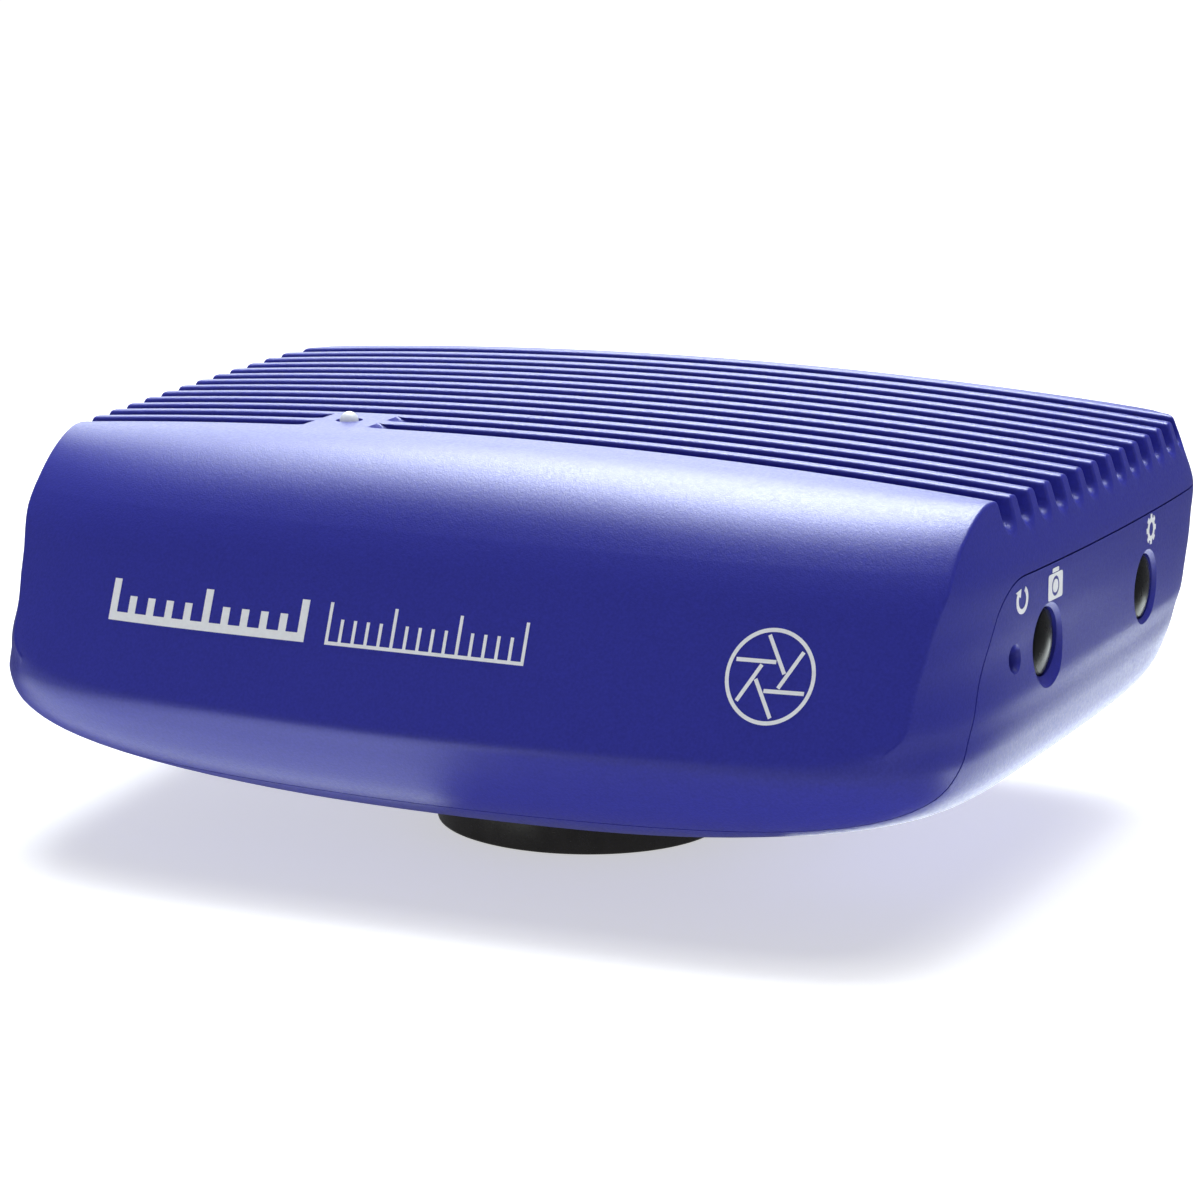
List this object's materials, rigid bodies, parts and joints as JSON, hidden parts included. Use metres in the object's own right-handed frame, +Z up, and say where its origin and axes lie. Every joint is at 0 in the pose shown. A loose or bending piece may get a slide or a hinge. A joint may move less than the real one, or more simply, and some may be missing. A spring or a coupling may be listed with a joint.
{
  "type": "microscope camera",
  "caption": "Boxy blue camera head with a finned, crowned top, a bowl-shaped underside with a round C-mount ring, side buttons and rear ports.",
  "frame": {"origin": "centre of the mount ring bottom face, on the optical axis, which is also what the camera rests on", "axes": "+Z up along the optical axis, away from the subject; +X towards the side with the buttons; the sloping front faces -Y and the ports +Y"},
  "size_m": [0.1706, 0.1308, 0.068],
  "materials": {
    "blue_paint": "fine-textured satin powder coat",
    "black_anodised": "satin black anodised",
    "black_steel": "black zinc",
    "bright_steel": "bright zinc",
    "raw_aluminium": "machined",
    "seal_rubber": "matt",
    "filter_glass": "polished, coated",
    "circuit_board": "green solder resist",
    "chip_plastic": "moulded epoxy",
    "panel_black": "fine-textured black",
    "connector_plastic": "ivory",
    "ribbon_film": "amber film",
    "brass": "turned",
    "thermal_pad": "soft matt",
    "button_black": "polished black",
    "plunger_plastic": "white",
    "led_body": "clear over phosphor",
    "light_pipe_clear": "frosted clear",
    "port_metal": "plated steel"
  },
  "bodies": {
    "housing": {"upper_shell": "blue_paint", "lower_shell": "blue_paint", "housing_screws": "black_steel", "mount_ring": "black_anodised", "mount_ring_screws": "black_steel", "sensor_carrier": "raw_aluminium", "filter_seal": "seal_rubber", "filter_glass": "filter_glass", "filter_retainer": "black_anodised", "sensor_board": "circuit_board", "sensor_board_screws": "bright_steel", "image_sensor": "chip_plastic", "sensor_window": "filter_glass", "sensor_connectors": "connector_plastic", "sensor_ribbon": "ribbon_film", "main_board": "circuit_board", "main_board_standoffs": "brass", "main_board_screws": "bright_steel", "processor": "chip_plastic", "processor_pad": "thermal_pad", "memory_chips": "chip_plastic", "heat_spreader": "raw_aluminium", "spreader_pad": "thermal_pad", "spreader_screws": "bright_steel", "button_board": "circuit_board", "button_board_screws": "bright_steel", "switch_bodies": "chip_plastic", "status_board": "circuit_board", "status_board_screws": "bright_steel", "status_led": "led_body", "light_pipe": "light_pipe_clear", "rear_panel": "panel_black", "rear_panel_screws": "black_steel", "usb_c_port": "port_metal", "usb_a_ports": "port_metal", "hdmi_port": "port_metal", "ethernet_jack": "port_metal", "card_slot": "port_metal"},
    "snap_button": {"snap_button": "button_black", "snap_plunger": "plunger_plastic"},
    "menu_button": {"menu_button": "button_black", "menu_plunger": "plunger_plastic"},
    "reset_pin": {"reset_pin": "button_black", "reset_plunger": "plunger_plastic"}
  },
  "joints": [
    {"name": "snap_button_press", "type": "slide", "parent": "housing", "child": "snap_button", "axis": [-1, 0, 0], "range_m": [0, 0.0005], "stiffness_N_per_m": 2000},
    {"name": "menu_button_press", "type": "slide", "parent": "housing", "child": "menu_button", "axis": [-1, 0, 0], "range_m": [0, 0.0005], "stiffness_N_per_m": 2000},
    {"name": "reset_pin_press", "type": "slide", "parent": "housing", "child": "reset_pin", "axis": [-1, 0, 0], "range_m": [0, 0.0005], "stiffness_N_per_m": 2000}
  ]
}
